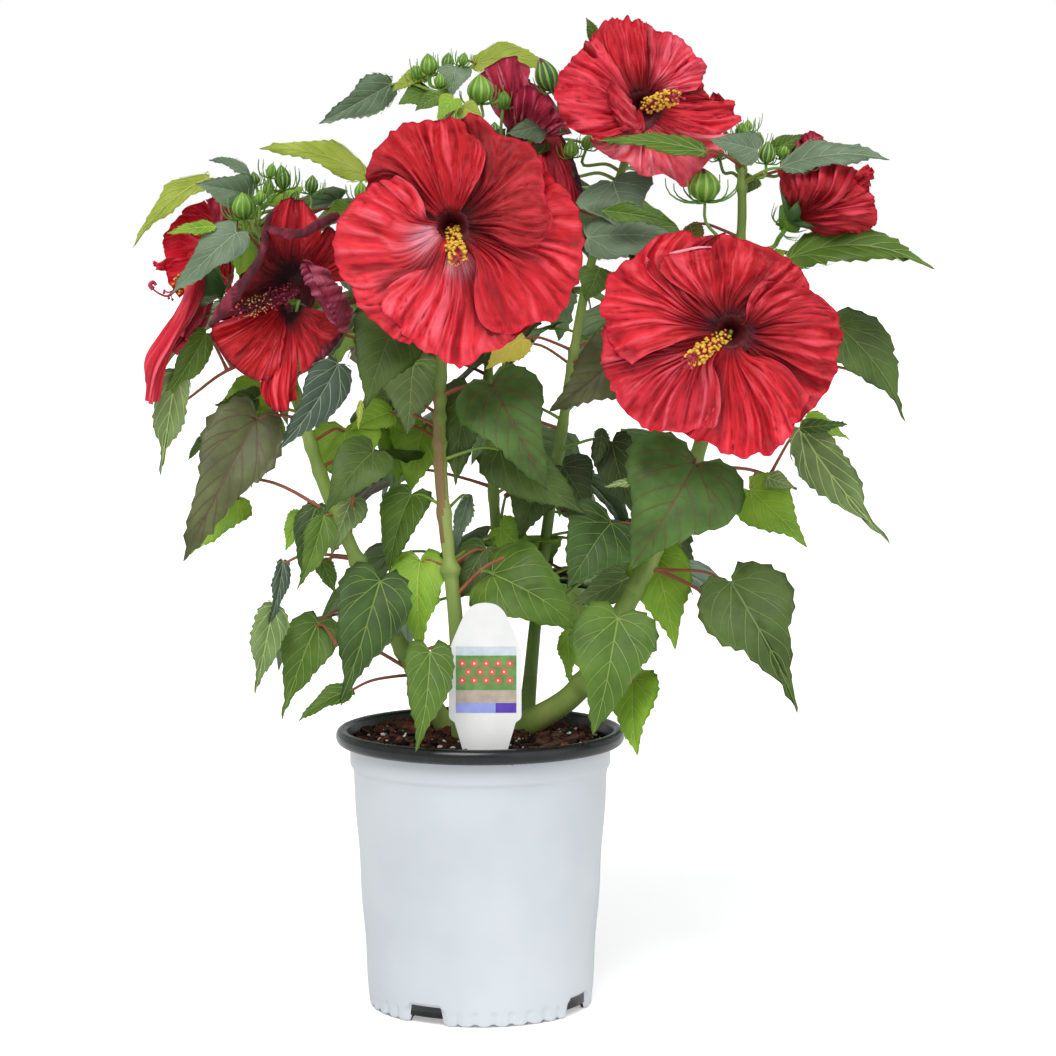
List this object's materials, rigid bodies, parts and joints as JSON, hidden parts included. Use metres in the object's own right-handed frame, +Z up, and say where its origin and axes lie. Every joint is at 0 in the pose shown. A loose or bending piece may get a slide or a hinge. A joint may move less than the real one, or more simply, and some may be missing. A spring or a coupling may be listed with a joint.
{
  "type": "hibiscus shrub in a nursery pot",
  "caption": "Potted hardy hibiscus shrub: green stems and boughs with masses of heart-shaped leaves, large red blooms and buds, in a round nursery pot with soil and a plain plant label.",
  "frame": {"origin": "centre of the pot's flat underside, at the surface that the pot stands on", "axes": "+Z up along the pot's axis, -Y towards the front with the label, +X to the right seen from the front"},
  "size_m": [0.6257, 0.3934, 0.7844],
  "materials": {
    "pot": "satin",
    "soil": "matte",
    "label": "satin",
    "stem": "satin",
    "bough": "satin",
    "petal": "matte",
    "petal_dark": "matte",
    "leaves": "matte"
  },
  "bodies": {
    "root": {"bloom_back_left": "petal", "bloom_back_right": "petal", "bloom_far_left_lower": "petal", "bloom_far_left_upper": "petal", "bloom_front_left": "petal", "bloom_front_right": "petal", "bloom_left_fading": "petal_dark", "bloom_rear_dark": "petal_dark", "bloom_right_closing": "petal", "bloom_top": "petal", "bough_back_centre_low": "bough", "bough_back_centre_upper": "bough", "bough_back_left_low": "bough", "bough_back_left_upper": "bough", "bough_back_right_low": "bough", "bough_back_right_upper": "bough", "bough_bloom_back": "bough", "bough_bloom_front_left": "bough", "bough_bloom_front_right": "bough", "bough_bloom_left": "bough", "bough_centre_middle": "bough", "bough_front_low": "bough", "bough_left_drooping": "bough", "bough_left_low": "bough", "bough_left_middle": "bough", "bough_left_outer": "bough", "bough_right_edge": "bough", "bough_right_low": "bough", "bough_right_outer": "bough", "bough_right_outer_low": "bough", "leaves_back_centre_low": "leaves", "leaves_back_centre_upper": "leaves", "leaves_back_left_low": "leaves", "leaves_back_left_upper": "leaves", "leaves_back_right_low": "leaves", "leaves_back_right_upper": "leaves", "leaves_centre_middle": "leaves", "leaves_centre_upper": "leaves", "leaves_front_low": "leaves", "leaves_left_drooping": "leaves", "leaves_left_low": "leaves", "leaves_left_middle": "leaves", "leaves_left_outer": "leaves", "leaves_left_upper": "leaves", "leaves_right_edge": "leaves", "leaves_right_low": "leaves", "leaves_right_middle": "leaves", "leaves_right_outer": "leaves", "leaves_right_outer_low": "leaves", "leaves_top_left": "leaves", "leaves_top_middle": "leaves", "leaves_top_right": "leaves", "plant_label": "label", "pot": "pot", "soil": "soil", "stem_back": "stem", "stem_centre": "stem", "stem_front": "stem", "stem_left": "stem", "stem_right": "stem"}
  },
  "joints": []
}
